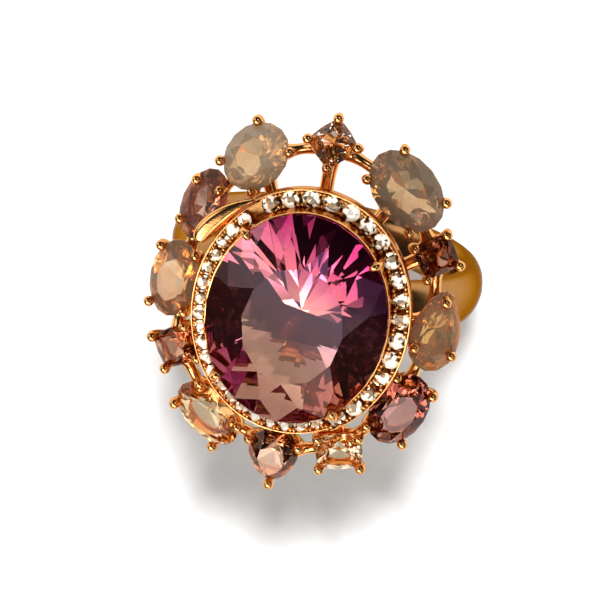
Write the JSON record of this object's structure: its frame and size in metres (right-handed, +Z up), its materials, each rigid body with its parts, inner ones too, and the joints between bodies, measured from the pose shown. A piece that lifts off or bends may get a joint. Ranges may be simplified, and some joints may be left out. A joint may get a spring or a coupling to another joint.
{
  "type": "cocktail ring",
  "caption": "Gold cocktail ring: a large faceted oval stone in a pave halo, ringed by a garland of claw-set side stones on a peaked band.",
  "frame": {"origin": "centre of the finger hole, on its axis and midway across the band", "axes": "+Y along the finger hole's axis, +X across the finger, +Z up through the head"},
  "size_m": [0.0214, 0.0262, 0.0278],
  "materials": {
    "rose_gold": "polished 18 ct rose gold",
    "centre_gem": "faceted and polished, purple-pink",
    "pave_gem": "faceted and polished, pale champagne",
    "morganite_peach": "faceted and polished",
    "lemon_quartz": "faceted and polished",
    "smoky_brown": "faceted and polished",
    "honey_quartz": "faceted and polished",
    "rose_tourmaline": "faceted and polished",
    "champagne": "faceted and polished",
    "peach_brown": "faceted and polished",
    "amber_champagne": "faceted and polished",
    "rose_brown": "faceted and polished",
    "beige_quartz": "faceted and polished",
    "cinnamon_rose": "faceted and polished",
    "milky_beige": "faceted and polished"
  },
  "bodies": {
    "root": {"shank": "rose_gold", "base_rail": "rose_gold", "upper_rail": "rose_gold", "gallery_posts": "rose_gold", "link_wires": "rose_gold", "centre_stone": "centre_gem", "centre_collet": "rose_gold", "centre_claw_1": "rose_gold", "centre_claw_2": "rose_gold", "centre_claw_3": "rose_gold", "centre_claw_4": "rose_gold", "halo_floor": "rose_gold", "halo_crescent_rim": "rose_gold", "halo_inner_rim": "rose_gold", "halo_tail": "rose_gold", "crescent_pave": "pave_gem", "inner_pave": "pave_gem", "crescent_grains": "rose_gold", "inner_grains": "rose_gold", "side_setting_1": "rose_gold", "side_setting_2": "rose_gold", "side_setting_3": "rose_gold", "side_setting_4": "rose_gold", "side_setting_5": "rose_gold", "side_setting_6": "rose_gold", "side_setting_7": "rose_gold", "side_setting_8": "rose_gold", "side_setting_9": "rose_gold", "side_setting_10": "rose_gold", "side_setting_11": "rose_gold", "side_setting_12": "rose_gold", "side_stem_1": "rose_gold", "side_stem_2": "rose_gold", "side_stem_3": "rose_gold", "side_stem_4": "rose_gold", "side_stem_5": "rose_gold", "side_stem_6": "rose_gold", "side_stem_7": "rose_gold", "side_stem_8": "rose_gold", "side_stem_9": "rose_gold", "side_stem_10": "rose_gold", "side_stem_11": "rose_gold", "side_stem_12": "rose_gold", "side_stone_1": "morganite_peach", "side_stone_2": "lemon_quartz", "side_stone_3": "smoky_brown", "side_stone_4": "honey_quartz", "side_stone_5": "rose_tourmaline", "side_stone_6": "champagne", "side_stone_7": "peach_brown", "side_stone_8": "amber_champagne", "side_stone_9": "rose_brown", "side_stone_10": "beige_quartz", "side_stone_11": "cinnamon_rose", "side_stone_12": "milky_beige"}
  },
  "joints": []
}
